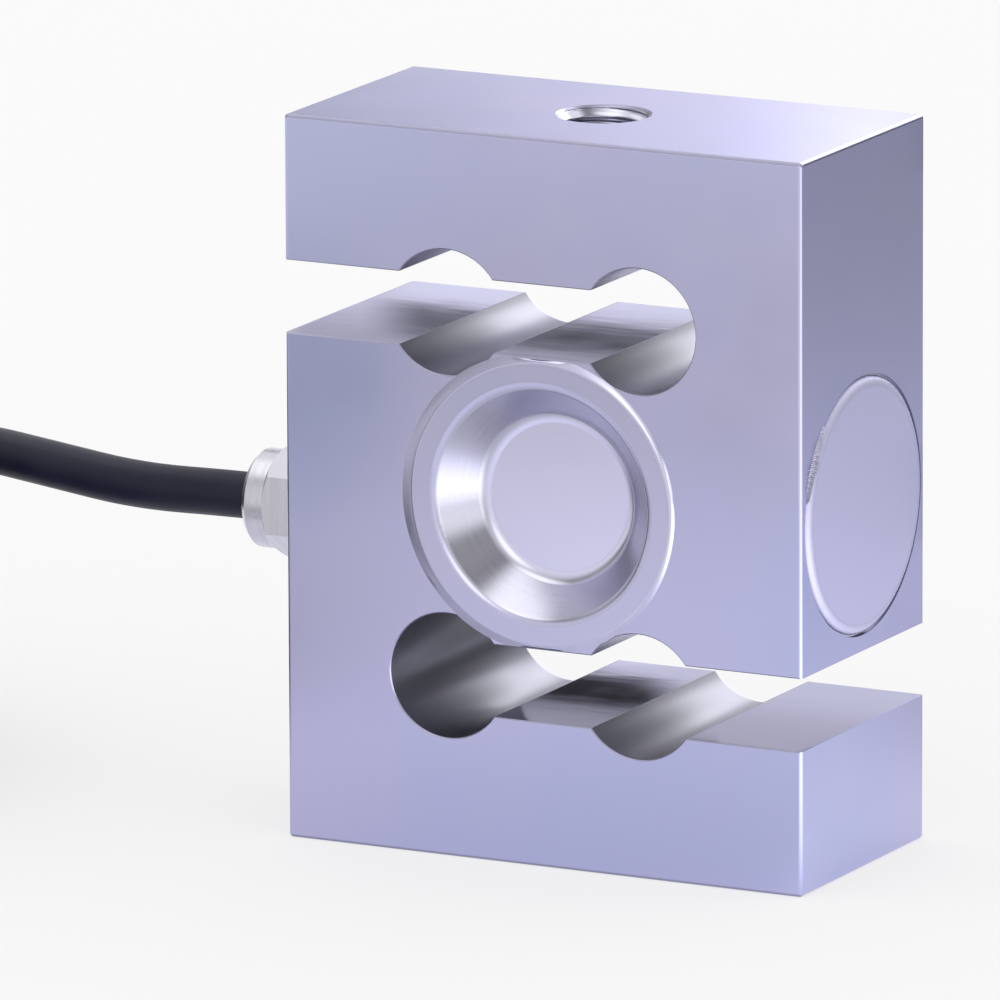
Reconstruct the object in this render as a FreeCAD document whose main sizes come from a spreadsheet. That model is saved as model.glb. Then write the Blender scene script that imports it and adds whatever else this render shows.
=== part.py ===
import FreeCAD, Part
import math
import os
import re
import Sketcher
from FreeCAD import Placement, Rotation, Vector

# An S type load cell that stands on its lower end. X runs along the slots, Y through the block
# and Z along the load. The origin is on the load axis, in the lower end face.

os.makedirs("parts", exist_ok=True)
doc = FreeCAD.newDocument("LoadCell")

# Driving dimensions, in millimetres and degrees

SIZES = {
    # the block and its two open slots
    "body_width": 62.0,
    "body_depth": 30.0,
    "body_height": 80.0,
    "end_block": 16.0,
    "slot_gap": 8.0,
    "relief_radius": 6.9,
    "relief_offset": 11.5,
    "slot_break": 0.12,
    "edge_round": 0.45,
    # the tapped hole in each end
    "thread_radius": 5.0,
    "thread_depth": 11.5,
    "thread_mouth": 0.25,
    "drill_tip": 2.9,
    # the dished disc over each end of the gauge bore
    "disc_land": 0.25,
    "disc_proud": 0.3,
    "disc_sheet": 0.8,
    "disc_edge_round": 0.3,
    "rim_width": 2.9,
    "dish_depth": 4.3,
    "dish_run": 3.85,
    "mouth_fold": 0.4,
    "floor_fold": 1.8,
    "bore_clearance": 0.65,
    # the wiring pocket and its cover
    "cover_land": 1.0,
    "cover_ledge": 1.6,
    "cover_sheet": 1.2,
    "cover_proud": 0.35,
    "cover_edge_round": 1.0,
    "cover_groove": 0.25,
    "cover_groove_depth": 0.35,
    "pocket_depth": 10.0,
    "wire_hole_radius": 2.2,
    # the round board in the pocket
    "board_thickness": 1.6,
    "board_clearance": 0.8,
    "board_standoff": 1.6,
    "board_screw_circle": 9.0,
    "screw_radius": 1.0,
    "screw_thread": 4.0,
    "screw_head_radius": 1.9,
    "screw_head": 1.2,
    "resistor_radius": 0.9,
    "resistor_length": 5.0,
    # the foil gauges on the bore wall
    "gauge_arc": 26.0,
    "gauge_length": 8.0,
    "gauge_thickness": 0.25,
    "terminal_arc": 11.0,
    "terminal_length": 2.0,
    "terminal_thickness": 0.6,
    "terminal_gap": 1.0,
    "gauge_lead_radius": 0.25,
    # the cable gland
    "gland_drop": 6.25,
    "gland_thread_radius": 4.0,
    "gland_hole_depth": 8.0,
    "stem_length": 6.5,
    "stem_clearance": 0.05,
    "gland_bore_radius": 2.7,
    "washer_radius": 5.4,
    "washer_thickness": 0.8,
    "flange_thickness": 2.9,
    "spigot_radius": 4.3,
    "spigot_length": 3.9,
    "nut_gap": 0.3,
    "nut_flats": 11.0,
    "nut_turn": 4.2,
    "nut_hex_length": 3.3,
    "nut_chamfer": 0.9,
    "nut_round_radius": 5.44,
    "nut_round_length": 2.1,
    "nut_cone_length": 0.6,
    "nut_tip_radius": 4.85,
    "nut_hole_radius": 2.75,
    "nut_wall": 1.2,
    "grommet_radius": 3.6,
    # the cable and its cores
    "cable_radius": 2.6,
    "core_radius": 0.6,
    "core_pitch": 1.3,
    # the put-away coil, its ties and the bare far end
    "coil_centre_x": -112.0,
    "coil_centre_y": -17.5,
    "coil_mean_radius": 26.2,
    "turns_across": 3.0,
    "turns_high": 6.0,
    "notch_length": 30.0,
    "notch_clearance": 0.1,
    "notch_room": 2.0,
    "tie_thickness": 1.0,
    "tie_width": 4.6,
    "sleeve_thickness": 0.5,
    "sleeve_length": 11.0,
    "sleeve_overlap": 4.0,
    "lead_radius": 0.65,
    "lead_circle": 1.25,
    "lead_straight": 8.0,
}

sheet = doc.addObject("Spreadsheet::Sheet", "Sizes")
for row, (alias, value) in enumerate(SIZES.items(), start=1):
    sheet.set("A%d" % row, alias.replace("_", " "))
    sheet.set("B%d" % row, str(value))
    sheet.setAlias("B%d" % row, alias)
doc.recompute()

NAMES = re.compile(r"\b(%s)\b" % "|".join(SIZES))

# Places and sizes that follow from the driving ones

MID_HEIGHT = "(body_height / 2)"
MID_HALF = "(body_height / 2 - end_block - slot_gap)"
SLOT_MIDDLE = "(end_block + slot_gap / 2)"
DISC_RADIUS = "(%s - disc_land)" % MID_HALF
MOUTH_RADIUS = "(%s - rim_width)" % DISC_RADIUS
FLOOR_RADIUS = "(%s - dish_run)" % MOUTH_RADIUS
BORE_RADIUS = "(%s + bore_clearance)" % MOUTH_RADIUS
DISH_FALL = "(dish_depth + disc_proud)"
SHEET_SHIFT = "(disc_sheet * (sqrt(dish_run ^ 2 + %s ^ 2) - dish_run) / %s)" % (DISH_FALL, DISH_FALL)
COVER_RADIUS = "(body_depth / 2 - cover_land)"
POCKET_RADIUS = "(%s - cover_ledge)" % COVER_RADIUS
BOARD_RADIUS = "(%s - board_clearance)" % POCKET_RADIUS
POCKET_FLOOR = "(body_width / 2 - pocket_depth)"
BOARD_BACK = "(%s + board_standoff)" % POCKET_FLOOR
BOARD_FRONT = "(%s + board_thickness)" % BOARD_BACK
GLAND_HEIGHT = "(body_height / 2 - gland_drop)"
FLANGE_END = "(washer_thickness + flange_thickness)"
NUT_START = "(%s + nut_gap)" % FLANGE_END
NUT_ROUND = "(%s + nut_hex_length + nut_chamfer)" % NUT_START
NUT_CONE = "(%s + nut_round_length)" % NUT_ROUND
NUT_END = "(%s + nut_cone_length)" % NUT_CONE
SPIGOT_END = "(%s + spigot_length)" % FLANGE_END
GROMMET_END = "(%s - nut_wall)" % NUT_END
CABLE_SIZE = "(2 * cable_radius)"
COIL_OUTER = "(coil_mean_radius + turns_across * cable_radius)"
COIL_INNER = "(coil_mean_radius - turns_across * cable_radius)"
COIL_HEIGHT = "(turns_high * %s)" % CABLE_SIZE
OUTER_TURN = "(%s - cable_radius)" % COIL_OUTER
TIE_INNER = "sqrt(%s ^ 2 - tie_width ^ 2 / 4)" % COIL_INNER


def number(formula):
    """The value of a formula of the sheet's names."""
    filled = NAMES.sub(lambda found: "(%r)" % float(sheet.get(found.group())), formula)
    return FreeCAD.Units.parseQuantity(filled).Value


def bound(formula):
    """The same formula as an expression of the document."""
    return NAMES.sub(r"Sizes.\g<0>", formula)


# Helpers for sketches, turned bodies and primitives

TO_FRONT = Rotation(Vector(1, 0, 0), 90)
TO_REAR = Rotation(Vector(1, 0, 0), -90)
TO_RIGHT = Rotation(Vector(0, 1, 0), 90)
TO_LEFT = Rotation(Vector(0, 1, 0), -90)


def place(piece, rotation=Rotation(), **formulas):
    """Turn a piece, and bind its place to formulas for x, y and z."""
    piece.Placement = Placement(Vector(), rotation)
    for axis, formula in formulas.items():
        piece.setExpression(".Placement.Base." + axis, bound(formula))
    return piece


def sketch_on(body, role, name, **shift):
    """An empty sketch on one of the body's own origin planes, shifted in that plane."""
    plane = next(feature for feature in body.Origin.OriginFeatures if feature.Role == role)
    sketch = body.newObject("Sketcher::SketchObject", name)
    sketch.AttachmentSupport = [(plane, "")]
    sketch.MapMode = "FlatFace"
    for axis, formula in shift.items():
        sketch.setExpression(".AttachmentOffset.Base." + axis, bound(formula))
    return sketch


def hold(sketch, kind, edge, point, formula):
    """Hold one point of a sketch at a distance from its origin, given by a formula."""
    held = Sketcher.Constraint(kind, -1, 1, edge, point, number(formula))
    index = sketch.addConstraint(held)
    sketch.setExpression("Constraints[%d]" % index, bound(formula))


def outline(sketch, corners):
    """A closed outline of straight lines. Each corner is a pair of formulas."""
    points = [Vector(number(across), number(up), 0) for across, up in corners]
    first = sketch.GeometryCount
    for here, there in zip(points, points[1:] + points[:1]):
        sketch.addGeometry(Part.LineSegment(here, there), False)
    for step, (across, up) in enumerate(corners):
        after = (step + 1) % len(corners)
        sketch.addConstraint(Sketcher.Constraint("Coincident", first + step, 2, first + after, 1))
        hold(sketch, "DistanceX", first + step, 1, across)
        hold(sketch, "DistanceY", first + step, 1, up)


def ring(sketch, across, up, radius):
    """A full circle whose centre and radius are formulas."""
    centre = Vector(number(across), number(up), 0)
    index = sketch.addGeometry(Part.Circle(centre, Vector(0, 0, 1), number(radius)), False)
    hold(sketch, "DistanceX", index, 3, across)
    hold(sketch, "DistanceY", index, 3, up)
    size = sketch.addConstraint(Sketcher.Constraint("Radius", index, number(radius)))
    sketch.setExpression("Constraints[%d]" % size, bound(radius))


def turned(label, corners):
    """A body turned about its own Z axis from an outline of radius and height."""
    body = doc.addObject("PartDesign::Body", label)
    sketch = sketch_on(body, "XZ_Plane", label + "_profile")
    outline(sketch, corners)
    turn = body.newObject("PartDesign::Revolution", label + "_turn")
    turn.Profile = sketch
    turn.ReferenceAxis = (sketch, ["V_Axis"])
    turn.Angle = 360
    doc.recompute()
    return body


def round_rings(body, name, size, rings):
    """Round the circular edges of a turned body that have these radii and heights."""
    tip = body.Tip
    chosen = []
    for index, edge in enumerate(tip.Shape.Edges, start=1):
        if isinstance(edge.Curve, Part.Circle):
            for radius, height in rings:
                same_radius = abs(edge.Curve.Radius - number(radius)) < 1e-4
                same_height = abs(edge.Curve.Center.z - number(height)) < 1e-4
                if same_radius and same_height:
                    chosen.append("Edge%d" % index)
    if len(chosen) != len(rings):
        raise ValueError("%s: found %d of %d edges" % (name, len(chosen), len(rings)))
    fillet = body.newObject("PartDesign::Fillet", name)
    fillet.Base = (tip, chosen)
    fillet.setExpression("Radius", bound(size))
    doc.recompute()


def primitive(kind, name, **formulas):
    """A Part primitive with each size bound to a formula."""
    piece = doc.addObject("Part::" + kind, name)
    for prop, formula in formulas.items():
        piece.setExpression(prop, bound(formula))
    return piece


def cut(name, base, tool):
    """Base without tool."""
    piece = doc.addObject("Part::Cut", name)
    piece.Base = base
    piece.Tool = tool
    return piece


def together(name, *pieces):
    """Several separate solids in one sub-part."""
    group = doc.addObject("Part::Compound", name)
    group.Links = list(pieces)
    return group


# The spring body


def check_cut(body, before, what):
    """Stop if a feature took nothing away. Gives the new volume."""
    doc.recompute()
    if not body.Shape.Volume < before - 1e-3:
        raise ValueError(what + " cuts nothing")
    return body.Shape.Volume


def pocket_through(body, sketch, name):
    """Cut a sketch on the middle plane through the whole body."""
    before = body.Shape.Volume
    pocket = body.newObject("PartDesign::Pocket", name)
    pocket.Profile = sketch
    pocket.Type = "ThroughAll"
    pocket.Midplane = True
    check_cut(body, before, name)


def draw_slots(sketch, margin, overrun):
    """The outlines of both slots, wider by a margin on each side. Their open ends run past the block."""
    past = "(body_width / 2 + %s)" % overrun
    low, high = "end_block - %s" % margin, "end_block + slot_gap + %s" % margin
    inner = "-relief_offset - %s" % margin
    outline(sketch, [(inner, low), (past, low), (past, high), (inner, high)])
    low, high = "body_height - (%s)" % high, "body_height - (%s)" % low
    inner, past = "relief_offset + %s" % margin, "-" + past
    outline(sketch, [(inner, low), (past, low), (past, high), (inner, high)])


def draw_relief_holes(sketch, radius):
    """A circle at each end of both slots."""
    for across in ("-relief_offset", "relief_offset"):
        for up in (SLOT_MIDDLE, "body_height - %s" % SLOT_MIDDLE):
            ring(sketch, across, up, radius)


def break_edges(body, sketch, name, reverse):
    """Break the edges of a cut with a shallow pocket whose walls close in at 45 degrees."""
    before = body.Shape.Volume
    pocket = body.newObject("PartDesign::Pocket", name)
    pocket.Profile = sketch
    pocket.Reversed = reverse
    pocket.TaperAngle = -45
    pocket.setExpression("Length", bound("slot_break"))
    check_cut(body, before, name)


def groove_round(body, name, plane, axis, corners, **shift):
    """Turn a stepped outline out of the body, about one axis of its sketch."""
    before = body.Shape.Volume
    sketch = sketch_on(body, plane, name + "_profile", **shift)
    outline(sketch, corners)
    groove = body.newObject("PartDesign::Groove", name)
    groove.Profile = sketch
    groove.ReferenceAxis = (sketch, [axis])
    groove.Angle = 360
    check_cut(body, before, name)


def make_spring_body():
    """The block with its slots, relief holes, gauge bore, wiring pocket, gland and tapped holes."""
    body = doc.addObject("PartDesign::Body", "spring_body")
    block = sketch_on(body, "XZ_Plane", "block_outline")
    left, right = "-body_width / 2", "body_width / 2"
    outline(block, [(left, "0"), (right, "0"), (right, "body_height"), (left, "body_height")])
    pad = body.newObject("PartDesign::Pad", "block")
    pad.Profile = block
    pad.Midplane = True
    pad.setExpression("Length", bound("body_depth"))
    doc.recompute()
    fillet = body.newObject("PartDesign::Fillet", "block_edges")
    fillet.Base = (pad, ["Edge%d" % (index + 1) for index in range(len(pad.Shape.Edges))])
    fillet.setExpression("Radius", bound("edge_round"))
    doc.recompute()

    slots = sketch_on(body, "XZ_Plane", "slots_outline")
    draw_slots(slots, "0", "slot_gap")
    pocket_through(body, slots, "slots")
    holes = sketch_on(body, "XZ_Plane", "relief_outline")
    draw_relief_holes(holes, "relief_radius")
    pocket_through(body, holes, "relief_holes")
    for name, depth in (("front", "body_depth / 2"), ("rear", "-body_depth / 2")):
        slots = sketch_on(body, "XZ_Plane", name + "_slot_outline", z=depth)
        draw_slots(slots, "slot_break", "slot_break")
        break_edges(body, slots, name + "_slot_edges", name == "rear")
        holes = sketch_on(body, "XZ_Plane", name + "_relief_outline", z=depth)
        draw_relief_holes(holes, "relief_radius + slot_break")
        break_edges(body, holes, name + "_relief_edges", name == "rear")

    seat = "(body_depth / 2 - disc_sheet + disc_proud)"
    past = "(body_depth / 2 + disc_sheet)"
    gauge_bore = [
        ("-" + past, "0"),
        ("-" + past, DISC_RADIUS),
        ("-" + seat, DISC_RADIUS),
        ("-" + seat, BORE_RADIUS),
        (seat, BORE_RADIUS),
        (seat, DISC_RADIUS),
        (past, DISC_RADIUS),
        (past, "0"),
    ]
    groove_round(body, "gauge_bore", "YZ_Plane", "H_Axis", gauge_bore, y=MID_HEIGHT)

    ledge = "(body_width / 2 - cover_sheet + cover_proud)"
    lip = "(body_width / 2 - cover_groove_depth)"
    past = "(body_width / 2 + cover_sheet)"
    pocket = [
        ("0", "0"),
        ("0", "wire_hole_radius"),
        (POCKET_FLOOR, "wire_hole_radius"),
        (POCKET_FLOOR, POCKET_RADIUS),
        (ledge, POCKET_RADIUS),
        (ledge, COVER_RADIUS),
        (lip, COVER_RADIUS),
        (lip, "%s + cover_groove" % COVER_RADIUS),
        (past, "%s + cover_groove" % COVER_RADIUS),
        (past, "0"),
    ]
    groove_round(body, "wiring_pocket", "XZ_Plane", "H_Axis", pocket, y=MID_HEIGHT)

    hole_end = "(-body_width / 2 + gland_hole_depth)"
    past = "(-body_width / 2 - slot_gap)"
    gland = [
        ("0", "0"),
        ("0", "gland_bore_radius"),
        (hole_end, "gland_bore_radius"),
        (hole_end, "gland_thread_radius"),
        (past, "gland_thread_radius"),
        (past, "0"),
    ]
    groove_round(body, "gland_hole", "XZ_Plane", "H_Axis", gland, y=GLAND_HEIGHT)

    for name, face, inwards in (("lower_thread", "0", "+"), ("upper_thread", "body_height", "-")):
        outwards = "-" if inwards == "+" else "+"
        mouth = "thread_radius + thread_mouth"
        tapped = [
            ("0", "%s %s 1" % (face, outwards)),
            (mouth, "%s %s 1" % (face, outwards)),
            (mouth, face),
            ("thread_radius", "%s %s thread_mouth" % (face, inwards)),
            ("thread_radius", "%s %s thread_depth" % (face, inwards)),
            ("0", "%s %s (thread_depth + drill_tip)" % (face, inwards)),
        ]
        groove_round(body, name, "XZ_Plane", "V_Axis", tapped)

    screws = sketch_on(body, "YZ_Plane", "board_screw_outline", z=POCKET_FLOOR)
    for angle in board_screw_angles():
        across, up = on_screw_circle(angle)
        ring(screws, across, up, "screw_radius")
    before = body.Shape.Volume
    drilled = body.newObject("PartDesign::Pocket", "board_screw_holes")
    drilled.Profile = screws
    drilled.setExpression("Length", bound("screw_thread"))
    check_cut(body, before, "board_screw_holes")
    return body


# The wiring pocket's board, screws and resistors

BOARD_SCREWS = 3


def board_screw_angles():
    """The angles of the screws round the pocket's axis, one at the top."""
    return [90 + 360 * index / BOARD_SCREWS for index in range(BOARD_SCREWS)]


def on_screw_circle(angle):
    """The Y and Z of a place on the screw circle, as formulas."""
    across, up = math.cos(math.radians(angle)), math.sin(math.radians(angle))
    return "board_screw_circle * %.9f" % across, "%s + board_screw_circle * %.9f" % (MID_HEIGHT, up)


def place_on_board(piece, angle, depth):
    """Stand a piece along X at the screw circle. The depth is its lower end's X."""
    across, up = on_screw_circle(angle)
    return place(piece, TO_RIGHT, x=depth, y=across, z=up)


def make_wiring_board():
    """The round board, its three spacers and screws, and the resistors that trim the bridge."""
    blank = primitive("Cylinder", "board_blank", Radius=BOARD_RADIUS, Height="board_thickness")
    place(blank, TO_RIGHT, x=BOARD_BACK, z=MID_HEIGHT)
    openings, spacers, screws = [], [], []
    for angle in board_screw_angles():
        opening = primitive("Cylinder", "board_hole", Radius="screw_radius", Height="board_thickness")
        openings.append(place_on_board(opening, angle, BOARD_BACK))
        post = primitive("Cylinder", "post", Radius="screw_head_radius", Height="board_standoff")
        place_on_board(post, angle, POCKET_FLOOR)
        way = primitive("Cylinder", "post_hole", Radius="screw_radius", Height="board_standoff")
        place_on_board(way, angle, POCKET_FLOOR)
        spacers.append(cut("spacer", post, way))
        reach = "screw_thread + board_standoff + board_thickness"
        shank = primitive("Cylinder", "shank", Radius="screw_radius", Height=reach)
        place_on_board(shank, angle, "%s - screw_thread" % POCKET_FLOOR)
        head = primitive("Cylinder", "head", Radius="screw_head_radius", Height="screw_head")
        place_on_board(head, angle, BOARD_FRONT)
        screw = doc.addObject("Part::Fuse", "screw")
        screw.Base = head
        screw.Tool = shank
        screws.append(screw)
    bored = doc.addObject("Part::MultiFuse", "board_holes")
    bored.Shapes = openings
    board = cut("wiring_board", blank, bored)

    resistors = []
    for up in (-1, 0, 1):
        barrel = primitive("Cylinder", "barrel", Radius="resistor_radius", Height="resistor_length")
        place(
            barrel,
            TO_FRONT,
            x="%s + resistor_radius" % BOARD_FRONT,
            y="resistor_length / 2",
            z="%s + %d * 3 * resistor_radius" % (MID_HEIGHT, up),
        )
        resistors.append(barrel)
    return [
        board,
        together("board_spacers", *spacers),
        together("board_screws", *screws),
        together("trim_resistors", *resistors),
    ]


# The dished discs and the end cover


def make_disc(label, rotation, side):
    """A sheet disc with a rolled dish. It is turned with its outer face up, then laid in its seat."""
    under = "disc_proud - disc_sheet"
    back_mouth = "%s + %s" % (MOUTH_RADIUS, SHEET_SHIFT)
    back_floor = "%s + %s" % (FLOOR_RADIUS, SHEET_SHIFT)
    back = "-dish_depth - disc_sheet"
    disc = turned(
        label,
        [
            ("0", "-dish_depth"),
            (FLOOR_RADIUS, "-dish_depth"),
            (MOUTH_RADIUS, "disc_proud"),
            (DISC_RADIUS, "disc_proud"),
            (DISC_RADIUS, under),
            (back_mouth, under),
            (back_floor, back),
            ("0", back),
        ],
    )
    round_rings(disc, label + "_edge", "disc_edge_round", [(DISC_RADIUS, "disc_proud")])
    round_rings(disc, label + "_mouth_back", "mouth_fold", [(back_mouth, under)])
    round_rings(disc, label + "_mouth", "mouth_fold + disc_sheet", [(MOUTH_RADIUS, "disc_proud")])
    round_rings(disc, label + "_floor", "floor_fold", [(FLOOR_RADIUS, "-dish_depth")])
    round_rings(disc, label + "_floor_back", "floor_fold + disc_sheet", [(back_floor, back)])
    return place(disc, rotation, y="%d * body_depth / 2" % side, z=MID_HEIGHT)


def make_end_cover():
    """The flat disc that closes the wiring pocket."""
    cover = turned(
        "end_cover",
        [
            ("0", "cover_proud - cover_sheet"),
            (COVER_RADIUS, "cover_proud - cover_sheet"),
            (COVER_RADIUS, "cover_proud"),
            ("0", "cover_proud"),
        ],
    )
    round_rings(cover, "cover_edge", "cover_edge_round", [(COVER_RADIUS, "cover_proud")])
    return place(cover, TO_RIGHT, x="body_width / 2", z=MID_HEIGHT)


# The strain gauges


def bore_patch(name, angle, arc, length, thickness, start):
    """A curved patch on the gauge bore's wall. Its middle is at an angle, its near end at a Y."""
    outer = primitive("Cylinder", name + "_outer", Radius=BORE_RADIUS, Height=length, Angle=arc)
    inner = primitive("Cylinder", name + "_inner", Radius="%s - %s" % (BORE_RADIUS, thickness),
                      Height=length)
    patch = cut(name, outer, inner)
    turn = Rotation(Vector(0, 1, 0), -(angle + number(arc) / 2))
    return place(patch, turn.multiply(TO_REAR), y=start, z=MID_HEIGHT)


def gauge_angles():
    """The direction of each gauge from the bore's axis, which is that of the relief hole it faces."""
    rise = number("%s - %s" % (MID_HEIGHT, SLOT_MIDDLE))
    angle = math.degrees(math.atan2(rise, number("relief_offset")))
    return {
        "upper_right": angle,
        "upper_left": 180 - angle,
        "lower_left": 180 + angle,
        "lower_right": -angle,
    }


def make_gauges():
    """Four foil gauges, one solder pad beside each, and the thin leads to the board."""
    gauges, pads, leads = [], [], []
    pad_start = "(gauge_length / 2 + terminal_gap)"
    lead_ring = number("wire_hole_radius - 1.8 * gauge_lead_radius")
    ways = {"upper_right": 75, "upper_left": 25, "lower_left": -25, "lower_right": -75}
    for place_name, angle in gauge_angles().items():
        gauges.append(
            bore_patch("strain_gauge_" + place_name, angle, "gauge_arc", "gauge_length",
                       "gauge_thickness", "-gauge_length / 2")
        )
        pads.append(
            bore_patch("pad_" + place_name, angle, "terminal_arc", "terminal_length",
                       "terminal_thickness", pad_start)
        )
        level = number("%s - terminal_thickness + gauge_lead_radius" % BORE_RADIUS)
        across, up = math.cos(math.radians(angle)), math.sin(math.radians(angle))
        way = math.radians(ways[place_name])
        middle = number(MID_HEIGHT)
        beside, above = lead_ring * math.cos(way), lead_ring * math.sin(way)
        route = [
            Vector(across * level, number("%s + terminal_length / 2" % pad_start), middle + up * level),
            Vector(number("%s - wire_hole_radius" % BORE_RADIUS), beside, middle + above),
            Vector(number(BOARD_BACK), beside, middle + above),
        ]
        lead = doc.addObject("Part::Feature", "lead_" + place_name)
        doc.recompute()
        lead.Shape = tube(route, number("gauge_lead_radius"), 0.2)[0].cut(pads[-1].Shape)
        leads.append(lead)
    return gauges + [together("gauge_terminals", *pads), together("gauge_leads", *leads)]


# Round tubes along straight runs that are joined by tangent arcs


def tube(route, radius, share):
    """A round tube along a route. Each arc takes this share of its shorter run. Gives its radii too."""
    edges, radii = [], []
    start = route[0]
    for before, corner, after in zip(route, route[1:], route[2:]):
        back, ahead = before - corner, after - corner
        turn = math.pi - back.getAngle(ahead)
        reach = share * min(back.Length, ahead.Length)
        radii.append(reach / math.tan(turn / 2))
        first = corner + back.normalize() * reach
        last = corner + ahead.normalize() * reach
        bisector = ((first - corner) + (last - corner)).normalize()
        sag = radii[-1] / math.cos(turn / 2) - radii[-1]
        edges.append(Part.LineSegment(start, first).toShape())
        edges.append(Part.Arc(first, corner + bisector * sag, last).toShape())
        start = last
    edges.append(Part.LineSegment(start, route[-1]).toShape())
    path = Part.Wire(edges)
    section = Part.Wire(Part.makeCircle(radius, route[0], route[1] - route[0]))
    solid = path.makePipeShell([section], True, False)
    expected = math.pi * radius ** 2 * path.Length
    if abs(solid.Volume / expected - 1) > 0.01:
        raise ValueError("a tube's volume is %.3f and not %.3f" % (solid.Volume, expected))
    return solid, radii, path.Length


def swept(label, route, radius, share=0.45):
    """A sub-part of one tube. Prints its length and its arcs' radii."""
    piece = doc.addObject("Part::Feature", label)
    piece.Shape, radii, length = tube(route, radius, share)
    piece.Placement = Placement()
    print("%s: %.1f mm long, arcs of radius %s" % (label, length, [round(r, 1) for r in radii]))
    return piece


# The cable gland, made with its axis up from the block's face and then laid along -X


def make_gland():
    """The washer, the threaded body, the rubber grommet and the collared nut."""
    washer = turned(
        "gland_washer",
        [
            ("gland_thread_radius", "0"),
            ("washer_radius", "0"),
            ("washer_radius", "washer_thickness"),
            ("gland_thread_radius", "washer_thickness"),
        ],
    )
    stem = turned(
        "gland_stem",
        [
            ("gland_bore_radius", "-stem_length"),
            ("gland_thread_radius - stem_clearance", "-stem_length"),
            ("gland_thread_radius - stem_clearance", "washer_thickness / 2"),
            ("gland_thread_radius - stem_clearance", FLANGE_END),
            ("spigot_radius", FLANGE_END),
            ("spigot_radius", SPIGOT_END),
            ("gland_bore_radius", SPIGOT_END),
        ],
    )
    flange = primitive("Prism", "flange", Circumradius="nut_flats / sqrt(3)", Height="flange_thickness")
    place(flange, Rotation(Vector(0, 0, 1), number("nut_turn")), z="washer_thickness")
    bore = primitive("Cylinder", "flange_bore", Radius="gland_bore_radius", Height="flange_thickness")
    place(bore, z="washer_thickness")
    body = doc.addObject("Part::Fuse", "gland_body")
    body.Base = stem
    body.Tool = cut("flange_ring", flange, bore)
    grommet = turned(
        "gland_grommet",
        [
            ("cable_radius", SPIGOT_END),
            ("grommet_radius", SPIGOT_END),
            ("nut_hole_radius + 0.2", GROMMET_END),
            ("cable_radius", GROMMET_END),
        ],
    )
    outside = turned(
        "nut_outside",
        [
            ("0", NUT_START),
            ("nut_flats * 0.6", NUT_START),
            ("nut_flats * 0.6", "%s + nut_hex_length" % NUT_START),
            ("nut_round_radius", NUT_ROUND),
            ("nut_round_radius", NUT_CONE),
            ("nut_tip_radius", NUT_END),
            ("0", NUT_END),
        ],
    )
    hexagon = primitive("Prism", "nut_hexagon", Circumradius="nut_flats / sqrt(3)",
                        Height="%s - %s" % (NUT_END, NUT_START))
    place(hexagon, Rotation(Vector(0, 0, 1), number("nut_turn")), z=NUT_START)
    faced = doc.addObject("Part::Common", "nut_faced")
    faced.Base = outside
    faced.Tool = hexagon
    inside = turned(
        "nut_inside",
        [
            ("0", "%s - 1" % NUT_START),
            ("spigot_radius", "%s - 1" % NUT_START),
            ("spigot_radius", SPIGOT_END),
            ("grommet_radius", SPIGOT_END),
            ("nut_hole_radius + 0.2", GROMMET_END),
            ("nut_hole_radius", GROMMET_END),
            ("nut_hole_radius", "%s + 1" % NUT_END),
            ("0", "%s + 1" % NUT_END),
        ],
    )
    nut = cut("gland_nut", faced, inside)
    pieces = [washer, body, grommet, nut]
    for piece in pieces:
        place(piece, TO_LEFT, x="-body_width / 2", z=GLAND_HEIGHT)
    return pieces


# The cable. Its points are chosen by hand, from the gland to the coil and on to the bare end

CABLE_ROUTE = [
    Vector(-37.2, 0, 33.75),
    Vector(-45.5, 0, 33.75),
    Vector(-57.5, 0.55, 33.3),
    Vector(-70.5, 5.1, 33.5),
    Vector(-86.0, 11.1, 33.5),
    Vector(-101.0, 13.9, 29.6),
    Vector(-112.0, 13.9, 29.6),
]
TAIL_ROUTE = [
    Vector(-112.0, -48.9, 3.6),
    Vector(-101.0, -48.9, 3.6),
    Vector(-90.0, -48.1, 3.4),
]
LEADS = {
    "lead_red": [Vector(-74.5, -48.1, 3.4), Vector(-61, -47.4, 1.8)],
    "lead_black": [Vector(-73.5, -50.4, 1.6), Vector(-61, -50.2, 0.8)],
    "lead_green": [Vector(-73.0, -49.2, 0.9), Vector(-58, -48.5, 0.8)],
    "lead_white": [Vector(-74.0, -46.8, 1.0), Vector(-60, -46.2, 0.8)],
    "shield_drain": [Vector(-73.5, -45.0, 2.0), Vector(-62, -43.8, 0.8)],
}
TIE_ANGLES = (12, 132, 222)


def make_cores():
    """The cable's four cores, from the jacket's end through the gauge bore to the board."""
    cores = []
    half = number("core_pitch / 2")
    low, high = number(GLAND_HEIGHT), number(MID_HEIGHT)
    start, end = CABLE_ROUTE[0].x, number(BOARD_BACK)
    bend_one = -number("%s - bore_clearance" % BORE_RADIUS)
    bend_two = number("%s - bore_clearance" % BORE_RADIUS)
    for colour, beside, above in (("red", -1, 1), ("black", 1, 1), ("green", -1, -1), ("white", 1, -1)):
        across, up = beside * half, above * half
        route = [
            Vector(start, across, low + up),
            Vector(bend_one, across, low + up),
            Vector(bend_two, across, high + up),
            Vector(end, across, high + up),
        ]
        cores.append(swept("core_" + colour, route, number("core_radius"), 0.3))
    return cores


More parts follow.
